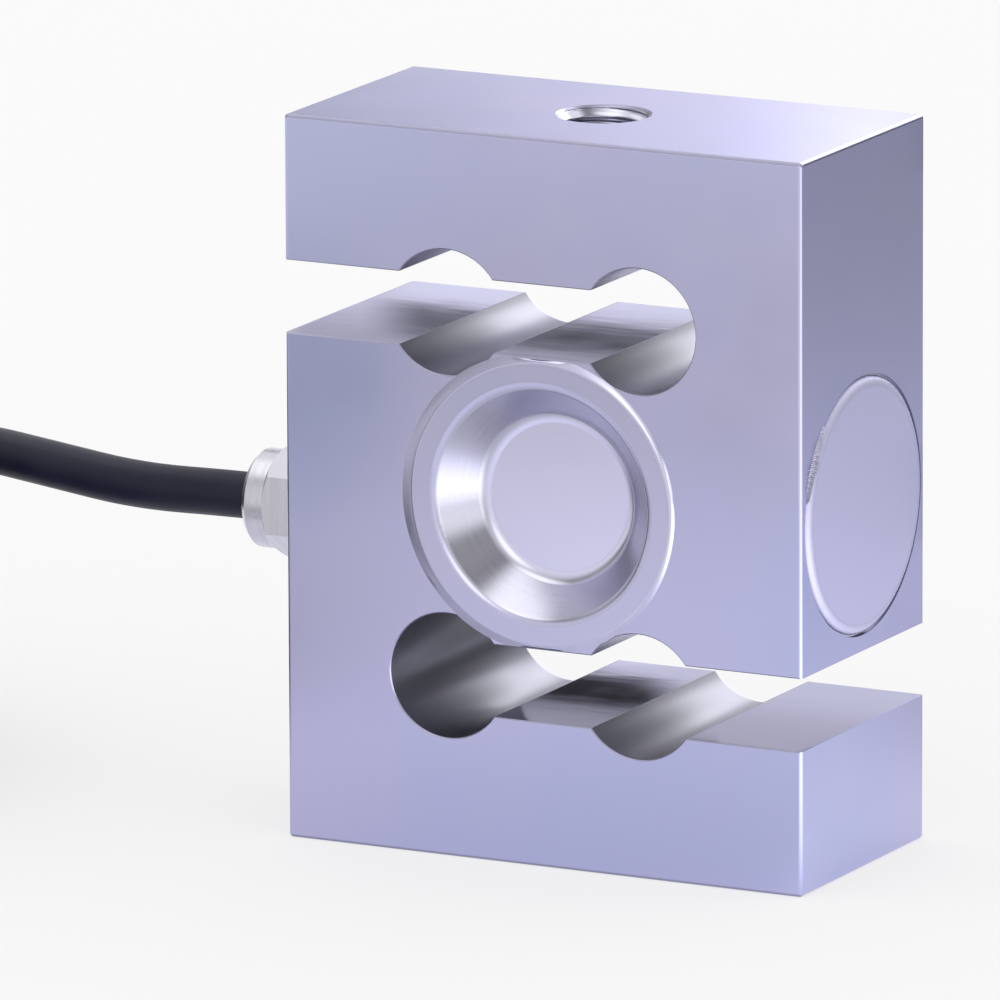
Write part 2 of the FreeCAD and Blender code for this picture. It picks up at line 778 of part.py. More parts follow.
def make_coil():
    """The coil as one ring, with a notch where the cable comes on and one where its end leaves."""
    outer = primitive("Cylinder", "coil_outer", Radius=COIL_OUTER, Height=COIL_HEIGHT)
    inner = primitive("Cylinder", "coil_inner", Radius=COIL_INNER, Height=COIL_HEIGHT)
    for piece in (outer, inner):
        place(piece, x="coil_centre_x", y="coil_centre_y", z="tie_thickness")
    annulus = cut("annulus", outer, inner)
    reach = "(cable_radius + notch_room)"
    coming = primitive("Box", "coming_on", Length="notch_length", Width="3 * " + CABLE_SIZE,
                       Height="2 * " + CABLE_SIZE)
    place(
        coming,
        x="coil_centre_x",
        y="coil_centre_y + %s - %s" % (OUTER_TURN, reach),
        z="tie_thickness + %s - %s - notch_clearance" % (COIL_HEIGHT, CABLE_SIZE),
    )
    going = primitive("Box", "going_off", Length="notch_length", Width="3 * " + CABLE_SIZE,
                      Height="%s + 2 * notch_clearance" % CABLE_SIZE)
    place(
        going,
        x="coil_centre_x",
        y="coil_centre_y - %s + %s - 3 * %s" % (OUTER_TURN, reach, CABLE_SIZE),
        z="tie_thickness - notch_clearance",
    )
    return cut("cable_coil", cut("coming_on_cut", annulus, coming), going)


def make_ties():
    """Three flat ties round the bundle. The coil lies on them."""
    ties = []
    for angle in TIE_ANGLES:
        across = "%s - %s" % (COIL_OUTER, TIE_INNER)
        band = primitive("Box", "tie_band", Length=across + " + 2 * tie_thickness",
                         Width="tie_width", Height="%s + 2 * tie_thickness" % COIL_HEIGHT)
        room = primitive("Box", "tie_room", Length=across, Width="tie_width", Height=COIL_HEIGHT)
        place(band, x="%s - tie_thickness" % TIE_INNER, y="-tie_width / 2")
        place(room, x=TIE_INNER, y="-tie_width / 2", z="tie_thickness")
        tie = cut("tie", band, room)
        place(tie, Rotation(Vector(0, 0, 1), angle), x="coil_centre_x", y="coil_centre_y")
        ties.append(tie)
    return together("cable_ties", *ties)


def make_leads():
    """The cores and the shield's drain wire, from the jacket's end to where they lie."""
    leads = []
    end = TAIL_ROUTE[-1]
    along = (end - TAIL_ROUTE[-2]).normalize()
    beside = Vector(0, 0, 1).cross(along).normalize()
    above = along.cross(beside)
    circle = number("lead_circle")
    for index, (label, points) in enumerate(LEADS.items()):
        angle = math.radians(90 + 360 * index / len(LEADS))
        start = end + (beside * math.cos(angle) + above * math.sin(angle)) * circle
        route = [start, start + along * number("lead_straight")] + points
        leads.append(swept(label, route, number("lead_radius")))
    return leads


def make_sleeve(leads):
    """The shrunk sleeve over the jacket's far end. It closes round the leads."""
    end = TAIL_ROUTE[-1]
    along = (end - TAIL_ROUTE[-2]).normalize()
    start = end - along * number("sleeve_overlap")
    outer = number("cable_radius + sleeve_thickness")
    solid = Part.makeCylinder(outer, number("sleeve_length"), start, along)
    solid = solid.cut(Part.makeCylinder(number("cable_radius"), (end - start).Length, start, along))
    for lead in leads:
        solid = solid.cut(lead.Shape)
    sleeve = doc.addObject("Part::Feature", "end_sleeve")
    sleeve.Shape = solid
    return sleeve


spring_body = make_spring_body()
board_pieces = make_wiring_board()
front_disc = make_disc("front_diaphragm", TO_FRONT, -1)
rear_disc = make_disc("rear_diaphragm", TO_REAR, 1)
end_cover = make_end_cover()
gauge_pieces = make_gauges()
gland_pieces = make_gland()
core_pieces = make_cores()
lead_pieces = make_leads()
cable_pieces = [
    swept("cable", CABLE_ROUTE, number("cable_radius")),
    make_coil(),
    swept("cable_tail", TAIL_ROUTE, number("cable_radius")),
    make_ties(),
    make_sleeve(lead_pieces),
]

SUB_PARTS = [spring_body, front_disc, rear_disc, end_cover]
SUB_PARTS += board_pieces + gauge_pieces + gland_pieces + core_pieces + cable_pieces + lead_pieces

doc.recompute()
failed = [item.Name for item in doc.Objects if {"Invalid", "Error"} & set(item.State)]
if failed:
    raise ValueError("failed objects: " + ", ".join(failed))
for part in SUB_PARTS:
    if part.Shape.isNull() or not part.Shape.isValid() or not part.Shape.Solids:
        raise ValueError(part.Label + " has no valid solid")
for part in SUB_PARTS:
    part.Shape.exportStep("parts/%s.step" % part.Label)
    print("%-26s %9.1f mm3, %d solids" % (part.Label, part.Shape.Volume, len(part.Shape.Solids)))
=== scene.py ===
# %% [markdown]
# An S type load cell in Blender.
#
# The real thing is one block of plated steel with two open slots, so that it bends a little under
# load. Foil gauges on a bore in its middle feel the bending, thin discs close that bore, and a
# cable leaves through a small gland. The block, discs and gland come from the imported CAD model.
# This lesson adds what a CAD solid can't carry: the cable's soft line, the thread's ridges, the
# weld beads round the discs, and the finish of every surface.

import math

import bmesh
import bpy
import numpy as np
from mathutils import Matrix, Vector


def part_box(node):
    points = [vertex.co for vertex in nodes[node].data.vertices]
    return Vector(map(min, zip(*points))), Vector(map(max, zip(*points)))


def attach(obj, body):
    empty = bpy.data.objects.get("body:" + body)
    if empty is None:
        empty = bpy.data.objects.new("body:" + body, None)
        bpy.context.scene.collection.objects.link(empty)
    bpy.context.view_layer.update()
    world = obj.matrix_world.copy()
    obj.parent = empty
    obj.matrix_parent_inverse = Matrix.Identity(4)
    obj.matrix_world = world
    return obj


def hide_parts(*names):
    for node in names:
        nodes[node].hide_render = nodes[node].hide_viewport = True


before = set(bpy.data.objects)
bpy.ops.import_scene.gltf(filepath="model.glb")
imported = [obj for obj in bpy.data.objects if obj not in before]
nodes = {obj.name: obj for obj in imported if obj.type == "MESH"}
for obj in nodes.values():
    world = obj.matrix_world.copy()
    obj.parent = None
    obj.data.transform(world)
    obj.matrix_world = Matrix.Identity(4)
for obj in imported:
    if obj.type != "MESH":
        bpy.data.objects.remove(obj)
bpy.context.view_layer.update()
scene = bpy.context.scene
MM = 0.001
BLOCK_WIDTH, BLOCK_DEPTH, BLOCK_HEIGHT = 62, 30, 80
FACE_X, FACE_Y, MIDDLE_Z = BLOCK_WIDTH / 2, BLOCK_DEPTH / 2, BLOCK_HEIGHT / 2
print("CAD nodes:", len(nodes))

# %% [markdown]
# The camera stands where the photographer stood.
#
# A long lens from about 1.7 m away keeps the block's edges nearly parallel. The place was worked
# out from the block's corners: 27 degrees round to the right of the front face, and 13 degrees
# up. Building the camera's axes from those two angles keeps it exact.

# %% Camera
AZIMUTH = math.radians(27.23)
ELEVATION = math.radians(12.67)
ROLL = math.radians(-0.249)
WIDTHS_AWAY = 27.830
PIXELS_A_WIDTH = 572.28
DISTANCE = WIDTHS_AWAY * BLOCK_WIDTH * MM
TARGET = Vector((-0.2055 * BLOCK_WIDTH, 0, 0.5845 * BLOCK_WIDTH)) * MM
FOCAL = PIXELS_A_WIDTH * WIDTHS_AWAY
SENSOR_MM, PICTURE_PIXELS = 36, 1000

towards = Vector((
    math.sin(AZIMUTH) * math.cos(ELEVATION),
    -math.cos(AZIMUTH) * math.cos(ELEVATION),
    math.sin(ELEVATION),
))
level = Vector((math.cos(AZIMUTH), math.sin(AZIMUTH), 0))
rise = towards.cross(level)
right = level * math.cos(ROLL) + rise * math.sin(ROLL)
above = rise * math.cos(ROLL) - level * math.sin(ROLL)

camera_data = bpy.data.cameras.new("camera")
camera_data.sensor_width = SENSOR_MM
camera_data.lens = SENSOR_MM * FOCAL / PICTURE_PIXELS
camera_data.clip_end = 20
camera = bpy.data.objects.new("camera", camera_data)
camera.matrix_world = Matrix.Translation(TARGET + towards * DISTANCE) @ Matrix(
    (right, above, towards)
).transposed().to_4x4()
scene.collection.objects.link(camera)
scene.camera = camera
print("camera lens %.1f mm, %.3f m away" % (camera_data.lens, DISTANCE))

# %% [markdown]
# The cable is 3 m of round four-core cable, and most of it lies in a put-away coil.
#
# A cable is one soft line, so it is one NURBS curve with a round section. Its first points follow
# the cable out of the gland and down to the coil. The coil is wound level on level, three turns
# wide and six high, as a winder lays it: the top level goes inwards, the next one outwards, and so
# on down. At the bottom the end leaves with its cores bared.

# %% The cable's free stretches
CABLE_RADIUS = 2.6
PITCH = 2 * CABLE_RADIUS
cable_start = np.array([
    (-37.2, 0, 33.75),
    (-45.5, 0, 33.75),
    (-57.5, 0.55, 33.3),
    (-70.5, 5.1, 33.5),
    (-86.0, 11.1, 33.5),
    (-101.0, 13.9, 29.6),
])
cable_end = np.array([
    (-101.0, -48.9, 3.6),
    (-90.0, -48.1, 3.4),
])
print("free stretches of", len(cable_start), "and", len(cable_end), "points")

# %% The coil's turns
COIL_CENTRE = (-112.0, -17.5)
OUTER_TURN = 31.4
TOP_LEVEL = 29.6
ACROSS = 3
TURNS = 17
STEP_START, STEP_END = math.radians(270), math.radians(378)
POINTS_A_TURN = 30


def coil_points():
    """The cable's line through the coil.

    The angle grows from a quarter turn by 17 and a half turns. In one sector each turn moves over
    by one pitch. A turn at a level's end drops a level there: it swings aside on an arc that
    stays one pitch away from both of its neighbours, which pass it at the same time.
    """
    count = int(POINTS_A_TURN * (TURNS + 0.5)) + 1
    angle = math.radians(90) + np.linspace(0, 2 * math.pi * (TURNS + 0.5), count)
    done = np.floor((angle - STEP_START) / (2 * math.pi)).astype(int)
    share = (angle - STEP_START - done * 2 * math.pi) / (STEP_END - STEP_START)
    share = np.clip(share, 0, 1)
    share = share * share * (3 - 2 * share)
    share[(done < 0) | (done >= TURNS)] = 0
    done = np.clip(done, 0, TURNS)
    floor_level, place = done // ACROSS, done % ACROSS
    inwards = floor_level % 2 == 0
    column = np.where(inwards, place, ACROSS - 1 - place).astype(float)
    drops = place == ACROSS - 1
    column += np.where(drops, 0, np.where(inwards, share, -share))
    turned = 1 - 2 * share
    reach = np.sqrt(np.maximum(1 - (1 + turned**2) / 4, 0))
    aside = (0.5 - reach / np.sqrt(1 + turned**2)) * np.where(inwards, -1, 1)
    column += np.where(drops, aside, 0)
    fall = floor_level + np.where(drops, 0.5 - reach * turned / np.sqrt(1 + turned**2), 0)
    radius = (OUTER_TURN - PITCH * column) / math.cos(math.pi / POINTS_A_TURN)
    return np.column_stack([
        COIL_CENTRE[0] + radius * np.cos(angle),
        COIL_CENTRE[1] + radius * np.sin(angle),
        TOP_LEVEL - PITCH * fall,
    ])


turns = coil_points()
print("coil points:", len(turns), "lowest %.2f mm" % turns[:, 2].min())

# %% The cable as one curve
cable_line = np.vstack([cable_start, turns, cable_end])


def soft_line(name, points, radius, sides=6, steps=6):
    """A round cord whose centreline is a NURBS curve of order 3 with these control points in mm.

    Its section is in mm too, and each point's own radius scales it down to metres.
    """
    curve = bpy.data.curves.new(name, "CURVE")
    curve.dimensions = "3D"
    spline = curve.splines.new("NURBS")
    spline.points.add(len(points) - 1)
    flat = np.column_stack([points * MM, np.ones(len(points))])
    spline.points.foreach_set("co", flat.ravel())
    spline.points.foreach_set("radius", np.full(len(points), MM))
    spline.order_u = 3
    spline.use_endpoint_u = True
    curve.resolution_u = steps
    curve.render_resolution_u = steps
    curve.bevel_depth = radius
    curve.bevel_resolution = sides
    curve.use_fill_caps = True
    line = bpy.data.objects.new(name, curve)
    scene.collection.objects.link(line)
    return line


cable = soft_line("cable_line", cable_line, CABLE_RADIUS)
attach(cable, "root")
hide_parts("cable", "cable_coil", "cable_tail")
print("cable of", len(cable_line), "points")

# %% [markdown]
# Every finish is worked out from the surface's own place, so it holds from any side.
#
# A plain colour never looks like metal. Real plating is a little cloudy, turned metal has fine
# marks, and rubber is never evenly dull. Each material below starts from one colour and one
# roughness, and then small noises vary them. The noises read Object coordinates, in metres.

# %% Helpers for materials and noises
def material_of(name, colour, roughness, metallic=0.0):
    """A material whose even values sit on the shader's own sockets."""
    material = bpy.data.materials.new(name)
    material.use_nodes = True
    shader = material.node_tree.nodes["Principled BSDF"]
    shader.inputs["Base Color"].default_value = (*colour, 1)
    shader.inputs["Roughness"].default_value = roughness
    shader.inputs["Metallic"].default_value = metallic
    return material, material.node_tree, shader


def place_of(tree, scale=(1, 1, 1), centre=(0, 0, 0)):
    """Object coordinates, moved by a centre in mm and stretched by a scale per metre."""
    source = tree.nodes.new("ShaderNodeTexCoord")
    mapping = tree.nodes.new("ShaderNodeMapping")
    mapping.inputs["Scale"].default_value = scale
    mapping.inputs["Location"].default_value = [-c * MM * s for c, s in zip(centre, scale)]
    tree.links.new(source.outputs["Object"], mapping.inputs["Vector"])
    return mapping.outputs["Vector"]


def axes_of(tree, vector):
    """A vector's X, Y and Z, as three sockets."""
    split = tree.nodes.new("ShaderNodeSeparateXYZ")
    tree.links.new(vector, split.inputs["Vector"])
    return split.outputs


def noise_of(tree, vector, detail):
    """Cloudy noise from 0 to 1 in the mapped place."""
    noise = tree.nodes.new("ShaderNodeTexNoise")
    noise.inputs["Scale"].default_value = 1
    noise.inputs["Detail"].default_value = detail
    noise.inputs["Roughness"].default_value = 0.55
    tree.links.new(vector, noise.inputs["Vector"])
    return noise.outputs["Fac"]


def spread(tree, value, low, high, to_low=0.0, to_high=1.0):
    """The value, carried from one range to another and held inside it."""
    node = tree.nodes.new("ShaderNodeMapRange")
    node.interpolation_type = "SMOOTHSTEP"
    for socket, number in zip(node.inputs[1:5], (low, high, to_low, to_high)):
        socket.default_value = number
    tree.links.new(value, node.inputs["Value"])
    return node.outputs["Result"]


print("helpers for materials and noises ready")

# %% Helpers that mix and add
def feed(tree, socket, value):
    """Link a value to a socket, or write it there where it is a plain number or colour."""
    if isinstance(value, bpy.types.NodeSocket):
        tree.links.new(value, socket)
    elif socket.type == "RGBA":
        socket.default_value = (*value, 1)
    else:
        socket.default_value = value


def blend_of(tree, factor, first, second):
    """One colour turning into another. Each is a colour or a socket."""
    mix = tree.nodes.new("ShaderNodeMix")
    mix.data_type = "RGBA"
    tree.links.new(factor, mix.inputs["Factor"])
    feed(tree, mix.inputs["A"], first)
    feed(tree, mix.inputs["B"], second)
    return mix.outputs["Result"]


def pick(tree, switch, off, on):
    """One value where the switch is 0 and another where it is 1."""
    mix = tree.nodes.new("ShaderNodeMix")
    tree.links.new(switch, mix.inputs["Factor"])
    feed(tree, mix.inputs["A"], off)
    feed(tree, mix.inputs["B"], on)
    return mix.outputs["Result"]


def sum_of(tree, operation, first, second=0.0):
    """Two values joined by one sum. Each is a number or a socket. Some sums use only the first."""
    node = tree.nodes.new("ShaderNodeMath")
    node.operation = operation
    feed(tree, node.inputs[0], first)
    feed(tree, node.inputs[1], second)
    return node.outputs["Value"]


def length_of(tree, first, second):
    """The long side of the right-angled triangle that has these two sides."""
    squares = [sum_of(tree, "MULTIPLY", side, side) for side in (first, second)]
    return sum_of(tree, "SQRT", sum_of(tree, "ADD", *squares))


def patch_of(tree, place, centre_mm, start_mm, full_mm, strength):
    """A round patch that grows from nothing at one distance from its centre to full at another."""
    away = tree.nodes.new("ShaderNodeVectorMath")
    away.operation = "DISTANCE"
    away.inputs[1].default_value = [c * MM for c in centre_mm]
    tree.links.new(place, away.inputs[0])
    return spread(tree, away.outputs["Value"], full_mm * MM, start_mm * MM, strength, 0)


print("helpers that mix and add ready")

# %% Helpers for relief and dressing
def bump_of(tree, shader, height, depth_mm):
    """Small relief of this depth on the surface."""
    bump = tree.nodes.new("ShaderNodeBump")
    bump.inputs["Distance"].default_value = depth_mm * MM
    tree.links.new(height, bump.inputs["Height"])
    tree.links.new(bump.outputs["Normal"], shader.inputs["Normal"])


def dress(material, *names):
    """Give a material to CAD nodes."""
    for name in names:
        nodes[name].data.materials.clear()
        nodes[name].data.materials.append(material)


print("helpers for relief and dressing ready")

# %% [markdown]
# The block is ground steel under a thin lilac grey plating.
#
# Its outer faces were ground, and only their sheen is a little uneven. The slots were milled and
# polished, so they are smoother and greyer. The drilled holes between them are duller, and the
# darker colour of their walls is painted shade. One material does both: a mask is one wherever
# the surface lies inside the block's outer faces. Another mask finds the broken edges, which were
# filed and are dull, and the darker colour of their flats is painted shade too. A plating bath
# also leaves soft clouds, and a darker patch at the front face's upper left is painted shade.

# %% Masks on the block
RELIEF_X, RELIEF_Z, RELIEF_RADIUS = 11.5, 20, 6.9


def inside_mask(tree, low, high, margin_mm):
    """One inside a box that is smaller than the block by a margin, and nothing on its faces."""
    place = axes_of(tree, place_of(tree))
    mask = None
    for axis in range(3):
        middle = (low[axis] + high[axis]) / 2
        half = (high[axis] - low[axis]) / 2
        off = sum_of(tree, "ABSOLUTE", sum_of(tree, "SUBTRACT", place[axis], middle))
        part = spread(tree, off, half - margin_mm * MM, half - 0.3 * margin_mm * MM, 1, 0)
        mask = part if mask is None else sum_of(tree, "MULTIPLY", mask, part)
    return mask


def hole_mask(tree):
    """One on the walls of the four relief holes, all at once, as they mirror one another."""
    place = axes_of(tree, place_of(tree, centre=(0, 0, MIDDLE_Z)))
    off_x, off_z = (
        sum_of(tree, "SUBTRACT", sum_of(tree, "ABSOLUTE", place[axis]), middle * MM)
        for axis, middle in (("X", RELIEF_X), ("Z", RELIEF_Z))
    )
    away = length_of(tree, off_x, off_z)
    return spread(tree, away, (RELIEF_RADIUS + 0.03) * MM, (RELIEF_RADIUS + 0.10) * MM, 1, 0)


def edge_mask(tree):
    """One on the small flats of the broken level edges, which face half up or down and half out."""
    facing = axes_of(tree, tree.nodes.new("ShaderNodeNewGeometry").outputs["True Normal"])
    both = sum_of(tree, "ABSOLUTE", sum_of(tree, "MULTIPLY", facing["Y"], facing["Z"]))
    return spread(tree, both, 0.15, 0.35)


print("masks ready for the slots, the holes and the edges")

# %% The block's colours
LILAC = (0.520, 0.505, 0.705)
LILAC_BLUE = (0.485, 0.495, 0.715)
SLOT_GREY = (0.455, 0.452, 0.550)
# Painted shade: the relief holes' walls are darker, as shade inside the hollow
HOLE_SHADE_GREY = (0.275, 0.273, 0.325)
# Painted shade: a darker patch at the front face's upper left, a painted dark reflection
DARK_PATCH_SHADE = (0.385, 0.410, 0.615)
DARK_PATCH_CENTRE = (-29, -FACE_Y, 51)
# Painted shade: the flats of the level edges along the front and back faces are darker
EDGE_SHADE_GREY = (0.36, 0.35, 0.47)

plating, tree, shader = material_of("plated_block", LILAC, 0.27, metallic=1.0)
low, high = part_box("spring_body")
inner = inside_mask(tree, low, high, 0.25)
hole_wall = hole_mask(tree)
clouds = noise_of(tree, place_of(tree, (26, 26, 26)), 3)
outer_colour = blend_of(tree, spread(tree, clouds, 0.38, 0.62), LILAC, LILAC_BLUE)
# The darker patch at the front face's upper left is painted shade
painted_dark_patch = patch_of(tree, place_of(tree), DARK_PATCH_CENTRE, 20, 4, 0.8)
outer_colour = blend_of(tree, painted_dark_patch, outer_colour, DARK_PATCH_SHADE)
# The holes' darker colour is painted shade
inner_colour = blend_of(tree, hole_wall, SLOT_GREY, HOLE_SHADE_GREY)
# The edge flats' darker colour is painted shade; their extra roughness is real
broken_edge = edge_mask(tree)
colour = blend_of(tree, inner, outer_colour, inner_colour)
tree.links.new(blend_of(tree, broken_edge, colour, EDGE_SHADE_GREY), shader.inputs["Base Color"])
print("block's box is %.1f mm wide" % ((high[0] - low[0]) / MM))

# %% The block's sheen
GROUND_ROUGH, MILLED_ROUGH = (0.235, 0.268), (0.06, 0.09)
DRILLED_DULLER, EDGE_DULLER = 0.24, 0.25
CUTTER_MARK_DEPTH = 0.006

smudge = noise_of(tree, place_of(tree, (70, 70, 70), (5, 3, 9)), 2)
outer_rough = spread(tree, smudge, 0.35, 0.65, *GROUND_ROUGH)
slot_rough = spread(tree, smudge, 0.35, 0.65, *MILLED_ROUGH)
drilled = sum_of(tree, "MULTIPLY", hole_wall, DRILLED_DULLER)
rough = pick(tree, inner, outer_rough, sum_of(tree, "ADD", slot_rough, drilled))
dulled = sum_of(tree, "ADD", rough, sum_of(tree, "MULTIPLY", broken_edge, EDGE_DULLER))
tree.links.new(dulled, shader.inputs["Roughness"])
cutter_marks = noise_of(tree, place_of(tree, (90, 320, 320)), 2)
bump_of(tree, shader, sum_of(tree, "MULTIPLY", inner, cutter_marks), CUTTER_MARK_DEPTH)
dress(plating, "spring_body")
print("block dressed in", plating.name)

# %% [markdown]
# The discs and the pocket's cover are pressed from bright sheet.
#
# They were plated apart from the block, so they are a shade lighter and pinker. A turned tool has
# gone round them, which leaves very faint rings: noise that reads the distance from the disc's
# own axis.

# %% The discs' sheet
# Distances from the axis in metres, between which one colour or sheen turns into the next
FLOOR_EDGE, WALL_EDGE, RIM_EDGE = (0.0084, 0.0092), (0.0126, 0.0130), (0.0128, 0.0132)


def ring_noise(tree, centre, across, scale):
    """Noise that depends on the distance from a disc's axis. Gives the distance too."""
    place = axes_of(tree, place_of(tree, centre=centre))
    radius = length_of(tree, *(place[axis] for axis in across))
    noise = tree.nodes.new("ShaderNodeTexNoise")
    noise.noise_dimensions = "1D"
    noise.inputs["Scale"].default_value = scale
    noise.inputs["Detail"].default_value = 3
    tree.links.new(radius, noise.inputs["W"])
    return noise.outputs["Fac"], radius


def sheet_metal(name, colour, other, centre, across, rough, rim_rough, wall, middle):
    """Bright pressed sheet with faint turned rings.

    The middle, out to the floor's edge, and the drawn wall, out to the wall's edge, have colours
    set apart, and the rim outside them has its own roughness. On the discs the wall's darker
    colour is painted shade and the middle's lighter one is a painted highlight.
    """
    material, tree, shader = material_of(name, colour, rough, metallic=1.0)
    rings, radius = ring_noise(tree, centre, across, 3200)
    clouds = noise_of(tree, place_of(tree, (55, 55, 55)), 3)
    tint = blend_of(tree, spread(tree, clouds, 0.35, 0.65), colour, other)
    tint = blend_of(tree, spread(tree, radius, *WALL_EDGE, 1, 0), tint, wall)
    tint = blend_of(tree, spread(tree, radius, *FLOOR_EDGE, 1, 0), tint, middle)
    tree.links.new(tint, shader.inputs["Base Color"])
    uneven = spread(tree, rings, 0.3, 0.7, rough - 0.01, rough + 0.02)
    duller = spread(tree, radius, *RIM_EDGE, 0, rim_rough - rough)
    tree.links.new(sum_of(tree, "ADD", uneven, duller), shader.inputs["Roughness"])
    bump_of(tree, shader, rings, 0.00012)
    return material


DISC_LILAC, DISC_WARM = (0.525, 0.52, 0.71), (0.545, 0.53, 0.71)
# Painted shade and painted highlight: the dish's wall is darker and its floor lighter than the disc
DISH_WALL_SHADE, DISH_FLOOR_HIGHLIGHT = (0.50, 0.495, 0.58), (0.675, 0.66, 0.85)
COVER_LILAC, COVER_RIM = (0.710, 0.700, 0.910), (0.66, 0.65, 0.83)
disc_sheet = sheet_metal(
    "disc_sheet", DISC_LILAC, DISC_WARM, (0, 0, MIDDLE_Z), "XZ",
    rough=0.22, rim_rough=0.24, wall=DISH_WALL_SHADE, middle=DISH_FLOOR_HIGHLIGHT,
)
cover_sheet = sheet_metal(
    "cover_sheet", COVER_RIM, COVER_RIM, (FACE_X, 0, MIDDLE_Z), "YZ",
    rough=0.38, rim_rough=0.60, wall=COVER_LILAC, middle=COVER_LILAC,
)
dress(disc_sheet, "front_diaphragm", "rear_diaphragm")
dress(cover_sheet, "end_cover")
print("discs dressed")

# %% [markdown]
# The gland is nickel plated brass, the small screws are steel, and most of the rest is plastic.
#
# Most of these pieces can't be seen once the cell is closed, but each gets its own finish, so
# that the model can be opened up.

# %% Small metal pieces
def small_metal(name, colour, rough, grain_scale):
    """Plated or plain metal with fine turning marks round X, along which it was turned."""
    material, tree, shader = material_of(name, colour, rough, metallic=1.0)
    marks = noise_of(tree, place_of(tree, (grain_scale, 60, 60)), 2)
    uneven = spread(tree, marks, 0.3, 0.7, rough - 0.04, rough + 0.06)
    tree.links.new(uneven, shader.inputs["Roughness"])
    darker = [c * 0.96 for c in colour]
    tint = blend_of(tree, spread(tree, marks, 0.35, 0.65), colour, darker)
    tree.links.new(tint, shader.inputs["Base Color"])
    bump_of(tree, shader, marks, 0.0007)
    return material


dress(small_metal("gland_nickel", (0.60, 0.585, 0.64), 0.26, 1400), "gland_nut", "gland_body")
dress(small_metal("screw_steel", (0.60, 0.60, 0.62), 0.28, 1500), "board_screws")
dress(small_metal("tinned_copper", (0.80, 0.52, 0.34), 0.32, 900), "gauge_terminals", "gauge_leads")
print("small metal pieces dressed")

# %% Plastic, rubber and lacquer
def moulded(name, colour, rough, depth=0.004, scale=900, shine=0.5):
    """Plastic, rubber or lacquer with a fine orange peel and a slightly uneven sheen."""
    material, tree, shader = material_of(name, colour, rough)
    shader.inputs["Specular IOR Level"].default_value = shine
    peel = noise_of(tree, place_of(tree, (scale, scale, scale)), 3)
    broad = noise_of(tree, place_of(tree, (90, 90, 90)), 3)
    paler = [min(1, c * 1.15 + 0.004) for c in colour]
    tint = blend_of(tree, spread(tree, broad, 0.35, 0.7), colour, paler)
    tree.links.new(tint, shader.inputs["Base Color"])
    uneven = spread(tree, broad, 0.3, 0.7, rough - 0.05, rough + 0.07)
    tree.links.new(uneven, shader.inputs["Roughness"])
    bump_of(tree, shader, peel, depth)
    return material


INSULATION = {
    "red": (0.55, 0.03, 0.025),
    "black": (0.02, 0.02, 0.02),
    "green": (0.02, 0.27, 0.07),
    "white": (0.82, 0.82, 0.79),
}
for colour_name, colour in INSULATION.items():
    insulation = moulded("insulation_" + colour_name, colour, 0.36)
    dress(insulation, "core_" + colour_name, "lead_" + colour_name)
dress(moulded("drain_sleeving", (0.42, 0.43, 0.44), 0.3), "shield_drain")
dress(moulded("board_laminate", (0.02, 0.16, 0.06), 0.32), "wiring_board")
dress(moulded("spacer_nylon", (0.78, 0.76, 0.68), 0.45), "board_spacers")
dress(moulded("resistor_lacquer", (0.16, 0.34, 0.52), 0.25), "trim_resistors")
dress(moulded("sealing_rubber", (0.018, 0.018, 0.02), 0.62), "gland_washer", "gland_grommet")
tie_nylon = moulded("tie_nylon", (0.022, 0.022, 0.024), 0.42)
dress(tie_nylon, "cable_ties")
dress(moulded("shrunk_sleeve", (0.014, 0.014, 0.015), 0.5, 0.01), "end_sleeve")
dress(
    moulded("amber_foil", (0.60, 0.33, 0.07), 0.22),
    *[name for name in nodes if name.startswith("strain_gauge")]
)
print("materials:", len(bpy.data.materials))

# %% [markdown]
# The cable's jacket is soft, slightly dull and nearly black, with a hint of navy.
#
# The jacket is extruded, so it has no grain, only a fine peel and a slightly uneven sheen.

# %% The cable's jacket
jacket = moulded(
    "cable_jacket", (0.0095, 0.0092, 0.0270), 0.46, depth=0.012, scale=500, shine=0.25
)
cable.data.materials.append(jacket)
print("cable dressed in", jacket.name)

# %% [markdown]
# Both ends of the block are tapped M10 x 1.5, and the ridges show inside the top hole.
#
# The CAD hole is plain, at the thread's major radius. The ridges are one surface inside it. Its
# rows run along the helix, so each row keeps one radius, and the mouth's bevel trims them.

# %% Surfaces from grids
def surface_of(name, points, material):
    """A grid of points in mm, rows by columns, as one mesh of quads. Doubled points are merged."""
    rows, columns = points.shape[:2]
    index = np.arange(rows * columns).reshape(rows, columns)
    quads = np.stack(
        [index[:-1, :-1], index[:-1, 1:], index[1:, 1:], index[1:, :-1]], axis=-1
    ).reshape(-1, 4)
    mesh = bpy.data.meshes.new(name)
    mesh.from_pydata((points.reshape(-1, 3) * MM).tolist(), [], quads.tolist())
    shell = bmesh.new()
    shell.from_mesh(mesh)
    bmesh.ops.remove_doubles(shell, verts=shell.verts, dist=2e-6)
    bmesh.ops.dissolve_degenerate(shell, edges=shell.edges, dist=1e-7)
    shell.to_mesh(mesh)
    shell.free()
    mesh.shade_smooth()
    mesh.materials.append(material)
    piece = bpy.data.objects.new(name, mesh)
    scene.collection.objects.link(piece)
    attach(piece, "root")
    return piece


print("ready to turn a grid of points into a piece")

# %% Thread ridges
MAJOR, MINOR, THREAD_PITCH = 4.975, 4.19, 1.5
THREAD_START, HOLE_DEPTH, MOUTH = 0.28, 11.3, 5.22


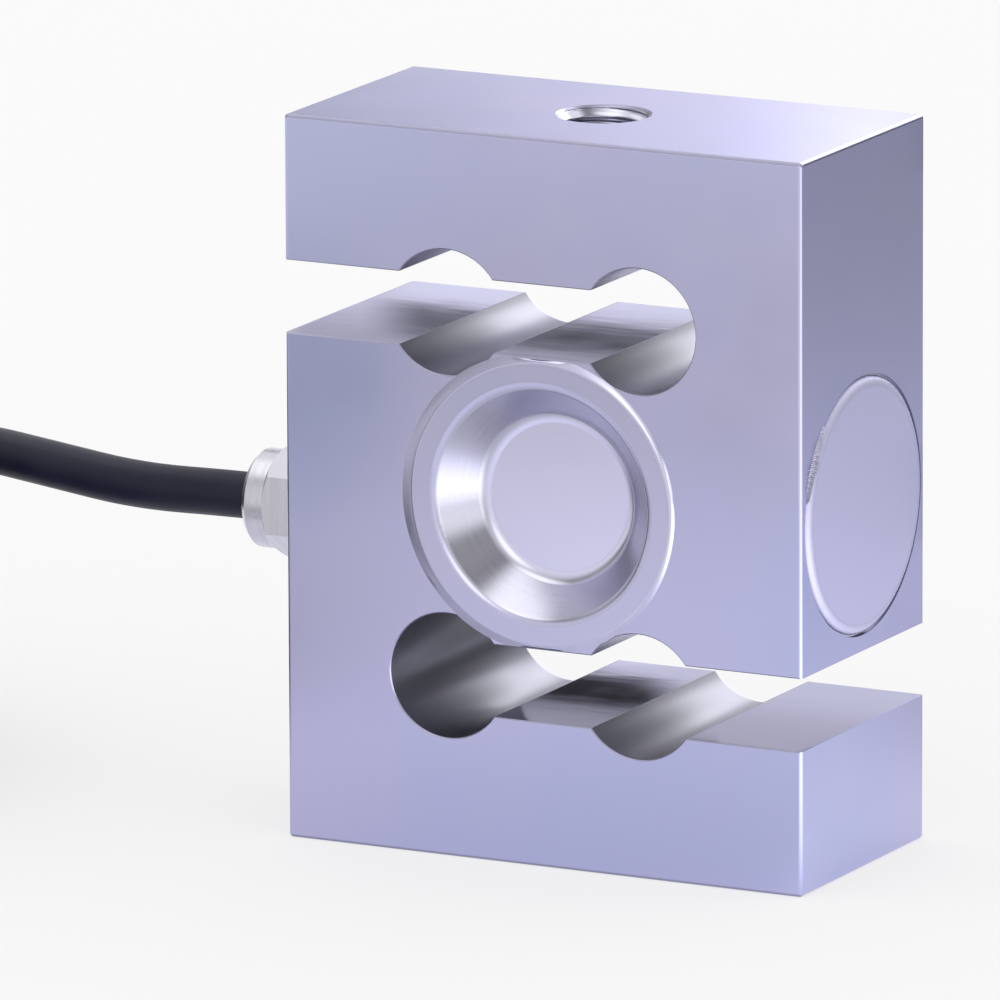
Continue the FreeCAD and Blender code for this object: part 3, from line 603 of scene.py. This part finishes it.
def thread_ridges(name, end_height, into):
    """A tapped hole's wall: the radius follows the tooth's profile, and the height the helix."""
    steps, around = 16, 97
    share = np.arange(steps) / steps
    tooth = np.interp(share, [0, 0.125, 0.4375, 0.6875, 1], [MAJOR, MAJOR, MINOR, MINOR, MAJOR])
    row = np.arange(-steps, int(HOLE_DEPTH / THREAD_PITCH * steps) + 1)
    angle = np.linspace(0, 2 * math.pi, around)
    depth = THREAD_PITCH * (row[:, None] / steps + angle[None, :] / (2 * math.pi))
    depth = np.clip(depth, THREAD_START, HOLE_DEPTH)
    radius = np.broadcast_to(tooth[row % steps][:, None], depth.shape)
    radius = np.minimum(np.maximum(radius, MOUTH - depth), MAJOR)
    points = np.stack([
        radius * np.cos(angle) * into,
        radius * np.sin(angle) * np.ones_like(depth),
        end_height + into * depth,
    ], axis=-1)
    return surface_of(name, points, thread_metal)


thread_metal = small_metal("cut_thread", (0.52, 0.52, 0.62), 0.2, 400)
for thread_name, end_height, into in (("upper_thread", BLOCK_HEIGHT, -1), ("lower_thread", 0, 1)):
    piece = thread_ridges(thread_name, end_height, into)
    print(thread_name, len(piece.data.polygons), "faces")

# %% [markdown]
# Each disc is welded in all round, and a laser leaves a narrow rippled bead.
#
# A bead is one strip swept round a circle. Its section is a low hump that starts on the disc,
# covers the joint and ends on the block. Tiny ripples follow one another along it, because the
# weld pool froze step by step, and slow waves keep it from looking turned.

# %% The weld bead's shape
DRESSED_HEIGHT = 0.24
SLOT_GAP = 0.12
NO_SLOT = 99


def weld_bead(section, ripples, lift, toe, lean, slot_edge, arc=(0, 360), columns=1440):
    """The points of a strip round a circle, flat on XY with its face up.

    Its outer foot runs out to the toe's radius, further on the left where it was dressed flat,
    and stays back where a slot cuts the face.

    The section lists radius and height in mm. The height of its inner points swells with fast
    ripples, which trail behind in the middle as in a real bead, and with three slow waves. A
    bead that is only an arc thins out at its ends, and more waves make it rough.
    """
    radius, height = (np.array(part)[:, None] for part in zip(*section))
    share = np.linspace(0, 1, len(section))[:, None]
    inner = np.sin(math.pi * share)
    angle = np.radians(np.linspace(arc[0], arc[1], columns))[None, :]
    fine = np.sin(ripples * (angle + 0.006 * inner))
    slow = np.sin(3 * angle + 1) + np.sin(7 * angle + 2.2) + np.sin(17 * angle + 0.4)
    if arc[1] - arc[0] < 360:
        ends = np.sin(math.pi * np.linspace(0, 1, columns))[None, :] ** 0.5
        height = height * ends - 0.02 * (1 - ends)
        slow = slow + 2.2 * np.sin(61 * angle + 3 * share) * np.sin(97 * angle)
        slow = slow + np.sin(143 * angle + 5 * share)
    left = (1 - np.cos(angle)) / 2 * (lean > 0)
    height = np.minimum(height, height * (1 - left) + DRESSED_HEIGHT * left)
    swell = height + lift * (1 - left) * inner * (0.6 * fine + 0.22 * slow)
    foot = toe - lean * np.cos(angle)
    slot_limit = (slot_edge - SLOT_GAP) / np.maximum(np.abs(np.sin(angle)), 0.1)
    edge = np.minimum(foot, slot_limit)
    bend, last = section[-3][0], section[-1][0]
    run = (edge - bend) / (last - bend)
    radius = np.where(radius > bend, bend + (radius - bend) * run, radius)
    spreads = radius + 0.5 * lift * inner * np.sin(23 * angle + 2 * share)
    return np.stack([spreads * np.cos(angle), spreads * np.sin(angle), swell], axis=-1)


def weld_seen(name, points, material, turn, centre_mm):
    """Turn a flat bead to its disc, move it there and make its mesh."""
    placed = points @ np.array(turn).T + np.array(centre_mm)
    piece = surface_of(name, placed, material)
    print(name, len(piece.data.polygons), "faces")


print("ready to sweep a bead")

# %% The discs' welds
DISC_BEAD = [
    (15.12, 0.26), (15.24, 0.30), (15.40, 0.32), (15.56, 0.31), (15.70, 0.24),
    (15.80, 0.12), (15.88, -0.02),
]
TO_FRONT = ((1, 0, 0), (0, 0, -1), (0, 1, 0))
TO_REAR = ((-1, 0, 0), (0, 0, 1), (0, 1, 0))
# Painted shade: the colour that darkens the left half of each bead
LEFT_BEAD_SHADE = (0.38, 0.375, 0.50)

weld_metal = small_metal("weld_metal", (0.60, 0.59, 0.76), 0.18, 500)
tree = weld_metal.node_tree
shader = tree.nodes["Principled BSDF"]
place = axes_of(tree, place_of(tree))
# Painted shade: the left half of each bead is greyer
# X times Y is positive on the left half of either bead, as seen from its own side
shaded_left_half = spread(tree, sum_of(tree, "MULTIPLY", place["X"], place["Y"]), -9e-5, 12e-5)
plain = shader.inputs["Base Color"].links[0].from_socket
tree.links.new(blend_of(tree, shaded_left_half, plain, LEFT_BEAD_SHADE), shader.inputs["Base Color"])
bead = weld_bead(DISC_BEAD, ripples=330, lift=0.005, toe=16.4, lean=0.48, slot_edge=16.0)
weld_seen("front_weld", bead, weld_metal, TO_FRONT, (0, -FACE_Y, MIDDLE_Z))
weld_seen("rear_weld", bead, weld_metal, TO_REAR, (0, FACE_Y, MIDDLE_Z))

# %% The rough patch on the cover
COVER_PATCH = [
    (13.62, 0.30), (13.80, 0.42), (14.00, 0.40), (14.20, 0.28), (14.38, 0.10), (14.46, -0.03),
]
TO_RIGHT = ((0, 0, 1), (1, 0, 0), (0, 1, 0))

spatter = small_metal("weld_spatter", (0.46, 0.45, 0.55), 0.3, 500)
tree = spatter.node_tree
specks = noise_of(tree, place_of(tree, (3600, 3600, 3600)), 2)
bump_of(tree, tree.nodes["Principled BSDF"], specks, 0.09)
patch = weld_bead(
    COVER_PATCH, ripples=420, lift=0.16, toe=14.46, lean=0, slot_edge=NO_SLOT, arc=(133, 168),
    columns=300,
)
weld_seen("cover_weld_patch", patch, spatter, TO_RIGHT, (FACE_X, 0, MIDDLE_Z))

# %% [markdown]
# Nylon ties hold the coil, and at its far end each core is stripped for wiring.
#
# A tie's head is a small moulded box that grips the strap, with the strap's cut end standing out
# of it. The stripped wire is a bundle of fine tinned strands, twisted so that it doesn't fray.
# Both are grids: rows of one closed outline, each row moved and scaled along the piece.

# %% Tie heads
def loft(name, middles, first_axis, second_axis, outline, scales, material):
    """Rows of one closed outline, each at its own middle and scale. All lengths are in mm."""
    across = outline[:, 0][None, :, None] * np.array(first_axis)
    upward = outline[:, 1][None, :, None] * np.array(second_axis)
    points = np.array(middles)[:, None, :] + np.array(scales)[:, None, None] * (across + upward)
    return surface_of(name, points, material)


def round_box(half_wide, half_high, power=5, count=49):
    """A closed rounded outline: a circle whose sine and cosine are pushed out to a box."""
    angle = np.linspace(0, 2 * math.pi, count)
    cosine, sine = np.cos(angle), np.sin(angle)
    stretch = (np.abs(cosine) ** power + np.abs(sine) ** power) ** (-1 / power)
    return np.column_stack([half_wide * cosine * stretch, half_high * sine * stretch])


TIE_ANGLES = (12, 132, 222)
TIE_HEIGHT = 20.5
STRAP_THICKNESS = 1.0
STRAP_OUTSIDE = OUTER_TURN + CABLE_RADIUS + STRAP_THICKNESS
HEAD_SUNK, HEAD_LENGTH, STRAP_END_LENGTH = 0.15, 3.9, 2.2
UP = np.array([0, 0, 1])
ALONG = np.array([0, 0, 0.75, 0.9, 1, 1])
GROWS = np.array([0, 1, 1, 0.96, 0.86, 0])

for number, degrees in enumerate(TIE_ANGLES, 1):
    outward = np.array([math.cos(math.radians(degrees)), math.sin(math.radians(degrees)), 0])
    sideways = np.array([-outward[1], outward[0], 0])
    foot = np.array([*COIL_CENTRE, TIE_HEIGHT]) + outward * (STRAP_OUTSIDE - HEAD_SUNK)
    head = loft(
        "tie_head_%d" % number, foot + np.outer(HEAD_LENGTH * ALONG, outward), sideways, UP,
        round_box(3.1, 2.9), GROWS, tie_nylon,
    )
    # The strap's end starts inside the head, 1.9 mm out and 2.3 mm up, and stands out on top
    strap_rows = foot + outward * 1.9 + UP * 2.3 + np.outer(STRAP_END_LENGTH * ALONG, UP)
    strap_end = loft(
        "tie_strap_end_%d" % number, strap_rows, sideways, outward,
        round_box(2.1, 0.55), GROWS, tie_nylon,
    )

# %% Stripped wire ends
strands = small_metal("tinned_strands", (0.74, 0.72, 0.70), 0.3, 900)
WIRE_ENDS = {
    "red": ((-74.5, -48.1, 3.4), (-61, -47.4, 1.8)),
    "black": ((-73.5, -50.4, 1.6), (-61, -50.2, 0.8)),
    "green": ((-73.0, -49.2, 0.9), (-58, -48.5, 0.8)),
    "white": ((-74.0, -46.8, 1.0), (-60, -46.2, 0.8)),
    "drain": ((-73.5, -45.0, 2.0), (-62, -43.8, 0.8)),
}


def stripped_end(name, before, end, length=5.5, radius=0.33, ridges=7, twists=1.5):
    """Twisted strands past a core's end: low ridges turn round it, and its tip closes."""
    along = (np.array(end) - np.array(before)) * (1, 1, 0)
    along = along / np.linalg.norm(along)
    beside = np.cross((0, 0, 1), along)
    beside /= np.linalg.norm(beside)
    over = np.cross(along, beside)
    share = np.linspace(0, 1, 70)[:, None]
    angle = np.linspace(0, 2 * math.pi, 57)[None, :]
    bumps = 0.84 + 0.16 * np.abs(np.cos(ridges / 2 * (angle + 2 * math.pi * twists * share)))
    closing = np.sqrt(np.clip(1 - (np.clip(share - 0.93, 0, 1) / 0.07) ** 2, 0, 1))
    opening = np.where(share == 0, 0, 1)
    reach = radius * bumps * closing * opening
    middle = np.array(end) + (share * (length + 1) - 1) * along
    points = middle[:, None, :] + reach[..., None] * (
        np.cos(angle)[..., None] * beside + np.sin(angle)[..., None] * over
    )
    return surface_of(name, points, strands)


for colour_name, (before, end) in WIRE_ENDS.items():
    piece = stripped_end("stripped_" + colour_name, before, end)

# %% [markdown]
# The studio is a white sweep with soft light from all round.
#
# Metal shows what stands around it, so the light is laid out for the reflections. Matt surfaces
# get a plain even light of strength 1, at which a colour renders as it is written. What a
# reflection meets in the world is a grey room with eleven soft glows, spread in front, behind,
# overhead and to both sides. The camera itself sees a pale sweep.

# %% The world
world = bpy.data.worlds.new("studio")
scene.world = world
world.use_nodes = True
tree = world.node_tree
background = tree.nodes["Background"]
PALE = 0.956
ROOM_GREY = 0.12


def dot_with(tree, source, towards):
    """How far a vector socket points in one direction."""
    dot = tree.nodes.new("ShaderNodeVectorMath")
    dot.operation = "DOT_PRODUCT"
    dot.inputs[1].default_value = Vector(towards).normalized()
    tree.links.new(source, dot.inputs[0])
    return dot.outputs["Value"]


def mirror_rays(tree):
    """Two switches: 1 for what the camera sees, and 1 for what a metal or a glass surface shows."""
    rays = tree.nodes.new("ShaderNodeLightPath").outputs
    both = sum_of(tree, "MAXIMUM", rays["Is Glossy Ray"], rays["Is Transmission Ray"])
    return rays["Is Camera Ray"], both


direction = tree.nodes.new("ShaderNodeTexCoord").outputs["Generated"]
room = ROOM_GREY
# Each glow's direction, the cosines at which it starts and is full, and its strength
GLOWS = (
    ((0.00, -1.00, 0.00), 0.30, 0.80, 0.80),
    ((-0.55, 0.83, 0.05), 0.93, 0.972, 1.05),
    ((-0.04, 0.87, 0.47), 0.915, 0.975, 3.40),
    ((-0.40, 0.50, 0.77), 0.84, 0.95, 0.95),
    ((0.60, 0.55, 0.58), 0.89, 0.96, 1.20),
    ((-0.12, -0.22, 0.968), 0.84, 0.96, 1.60),
    ((0.30, -0.20, 0.93), 0.50, 0.90, 0.22),
    ((-0.85, 0.05, 0.50), 0.80, 0.97, 0.65),
    ((0.14, -0.92, 0.37), 0.93, 0.98, 0.90),
    ((0.78, -0.40, 0.49), 0.90, 0.97, 0.12),
    ((0.93, -0.36, -0.05), 0.88, 0.97, 1.30),
)
for towards_glow, start, full, strength in GLOWS:
    glow = spread(tree, dot_with(tree, direction, towards_glow), start, full, 0, strength)
    room = sum_of(tree, "ADD", room, glow)
is_camera, is_mirror = mirror_rays(tree)
shown = pick(tree, is_camera, pick(tree, is_mirror, 1.0, room), PALE)
tree.links.new(shown, background.inputs["Strength"])
background.inputs["Color"].default_value = (1, 1, 1, 1)
print("world glows:", len(GLOWS))

# %% [markdown]
# The floor is pale too, and keeps a soft shadow under the block.
#
# About a third of its brightness is real diffuse light, which the block shades, and the rest is
# its own. Seen in the metal it has its own pattern: it falls off behind the block, a bright beam
# runs to the right, and eight round patches lie about, some brighter and some darker.

# %% Stage pieces
def stage_sheet(name, corners, centre=(0, 0, 0)):
    """A flat four-cornered stage piece, with its corners in metres round its own centre."""
    mesh = bpy.data.meshes.new(name)
    mesh.from_pydata(corners, [], [(0, 1, 2, 3)])
    sheet = bpy.data.objects.new(name, mesh)
    sheet.location = centre
    scene.collection.objects.link(sheet)
    material = bpy.data.materials.new(name + "_paper")
    material.use_nodes = True
    material.node_tree.nodes.clear()
    mesh.materials.append(material)
    return sheet, material.node_tree


print("ready to set the stage")

# %% The floor's light
SHADED = 0.32
SEEN_BRIGHTNESS, MATT_BRIGHTNESS = 0.78, 0.5
# The way in which the block's right face looks, and the way along the beam and across it
SIDE_VIEW, BEAM_WAY, BEAM_ACROSS = (0.457, 0.889, 0), (0.867, -0.446, 0), (0.446, 0.867, 0)
# Each patch's centre, the distances at which it starts and is full, and its strength
POOLS = (
    ((100, -42, 0), 82, 36, 1.05),
    ((-10, -30, 0), 75, 20, -0.14),
    ((-112, -240, 0), 95, 34, -0.60),
    ((-90, -152, 0), 46, 12, 0.15),
    ((-175, -95, 0), 110, 50, -0.26),
    ((-100, -95, 0), 62, 20, -0.40),
    ((-190, 70, 0), 110, 40, 0.45),
    ((-15, 110, 0), 95, 60, -0.62),
)

tree = stage_sheet("floor", [(-3, -3, 0), (3, -3, 0), (3, 3, 0), (-3, 3, 0)])[1]
output = tree.nodes.new("ShaderNodeOutputMaterial")
is_camera, is_mirror = mirror_rays(tree)
place = place_of(tree)
behind = spread(tree, dot_with(tree, place, SIDE_VIEW), 0.02, 0.36, 0.22, -0.34)
along_beam = spread(tree, dot_with(tree, place, BEAM_WAY), 0.06, 0.20)
off_beam = sum_of(tree, "ABSOLUTE", dot_with(tree, place, BEAM_ACROSS))
beam = sum_of(tree, "MULTIPLY", along_beam, spread(tree, off_beam, 0.05, 0.16, 1, 0))
seen_floor = sum_of(tree, "ADD", behind, beam)
for patch in POOLS:
    seen_floor = sum_of(tree, "ADD", seen_floor, patch_of(tree, place, *patch))
seen_floor = sum_of(tree, "ADD", seen_floor, SEEN_BRIGHTNESS - SHADED)
not_camera = pick(tree, is_mirror, MATT_BRIGHTNESS, seen_floor)
own_light = pick(tree, is_camera, not_camera, PALE - SHADED)
print("floor's light has", len(POOLS), "patches")

# %% The floor's paper
COOL_WHITE = (0.96, 1.0, 1.30)
cool = spread(tree, dot_with(tree, place, SIDE_VIEW), 0.02, 0.15)
cool = sum_of(tree, "ADD", cool, patch_of(tree, place, (-20, -50, 0), 170, 60, 0.45))
cool = sum_of(tree, "MULTIPLY", cool, is_mirror)
glowing = tree.nodes.new("ShaderNodeEmission")
tree.links.new(own_light, glowing.inputs["Strength"])
tree.links.new(blend_of(tree, cool, (1, 1, 1), COOL_WHITE), glowing.inputs["Color"])
paper = tree.nodes.new("ShaderNodeBsdfDiffuse")
paper.inputs["Color"].default_value = (SHADED, SHADED, SHADED, 1)
together = tree.nodes.new("ShaderNodeAddShader")
tree.links.new(paper.outputs["BSDF"], together.inputs[0])
tree.links.new(glowing.outputs["Emission"], together.inputs[1])
tree.links.new(together.outputs["Shader"], output.inputs["Surface"])
print("floor laid")

# %% [markdown]
# Five cards behind the block finish the reflections.
#
# A flat face of metal seen at a low angle mirrors one small patch of the room, so a card gives it
# a gradient. The large card serves the top face. The two slot cards stand close behind the slots,
# each with a dark line between a bright lower part and a grey upper part, and the slots' flat
# floors show them as bands. Two dim cards nearer the block keep the front of the round holes dark.
# No card is seen by the camera, and none gives light to matt surfaces.

# %% The top card
def card(name, centre_mm, half_width_mm, half_height_mm):
    """An upright card with soft edges. Gives its tree, its place and a socket for its light."""
    wide, high = half_width_mm * MM, half_height_mm * MM
    centre = [c * MM for c in centre_mm]
    sheet, tree = stage_sheet(
        name, [(-wide, 0, -high), (wide, 0, -high), (wide, 0, high), (-wide, 0, high)], centre
    )
    sheet.visible_camera = False
    sheet.visible_diffuse = False
    sheet.visible_shadow = False
    place = axes_of(tree, place_of(tree))
    solid = None
    for axis, half in (("X", wide), ("Z", high)):
        part = spread(tree, sum_of(tree, "ABSOLUTE", place[axis]), 0.75 * half, half, 1, 0)
        solid = part if solid is None else sum_of(tree, "MULTIPLY", solid, part)
    light = tree.nodes.new("ShaderNodeEmission")
    light.inputs["Color"].default_value = (1, 0.99, 1.18, 1)
    clear = tree.nodes.new("ShaderNodeBsdfTransparent")
    mix = tree.nodes.new("ShaderNodeMixShader")
    output = tree.nodes.new("ShaderNodeOutputMaterial")
    tree.links.new(solid, mix.inputs["Fac"])
    tree.links.new(clear.outputs["BSDF"], mix.inputs[1])
    tree.links.new(light.outputs["Emission"], mix.inputs[2])
    tree.links.new(mix.outputs["Shader"], output.inputs["Surface"])
    return tree, place["X"], place["Z"], light.inputs["Strength"]


tree, across, up, light = card("top_card", (-88, 150, 130), 62, 27)
slope = spread(tree, across, -0.052, 0.058, 0.26, 0.92)
low_part = spread(tree, up, -0.018, -0.006, 0.24, 0)
bright_end = spread(tree, across, 0.026, 0.052, 0, 0.66)
tree.links.new(sum_of(tree, "ADD", sum_of(tree, "ADD", slope, low_part), bright_end), light)
print("top card stands")

# %% The slot and hole cards
def slot_card(name, centre, half_width, line_ends, heights, below, dark, above, plain):
    """A card with a dark line between a bright lower part and a grey upper part.

    The line's ends and the parts' heights are places in mm. Beyond the ends the card is plain.
    """
    tree, across, up, light = card(name, centre, half_width, half_height_mm=7)
    low_z, dark_from, dark_to, top_z = [(z - centre[2]) * MM for z in heights]
    left, full_left, full_right, right_end = [(x - centre[0]) * MM for x in line_ends]
    even = spread(tree, up, low_z, top_z, 0.84 * below, plain)
    lower_part = spread(tree, up, low_z, dark_from, below, dark)
    upper_part = spread(tree, up, dark_to, top_z, 0, above)
    lined = sum_of(tree, "ADD", lower_part, upper_part)
    past_left = spread(tree, across, left, full_left)
    before_right = spread(tree, across, full_right, right_end, 1, 0)
    reach = sum_of(tree, "MULTIPLY", past_left, before_right)
    tree.links.new(pick(tree, reach, even, lined), light)


slot_card(
    "upper_slot_card", (-50, 75, 74.6), 34, line_ends=(-70, -60, -20, -14),
    heights=(72.2, 73.6, 75.6, 77.4), below=1.08, dark=0.03, above=0.54, plain=0.57,
)
slot_card(
    "lower_slot_card", (-25, 75, 35.8), 36, line_ends=(-90, -80, -34, -25),
    heights=(33.1, 34.1, 37.0, 38.4), below=1.04, dark=0.0, above=0.46, plain=0.62,
)
DIM_LIGHT = 0.10
for name, height in (("upper_hole_card", 75.6), ("lower_hole_card", 34.8)):
    light = card(name, (6, 30, height), half_width_mm=34, half_height_mm=6.2)[-1]
    light.default_value = DIM_LIGHT
print("cards standing behind the block")

# %% The view transform
scene.view_settings.view_transform = "Standard"
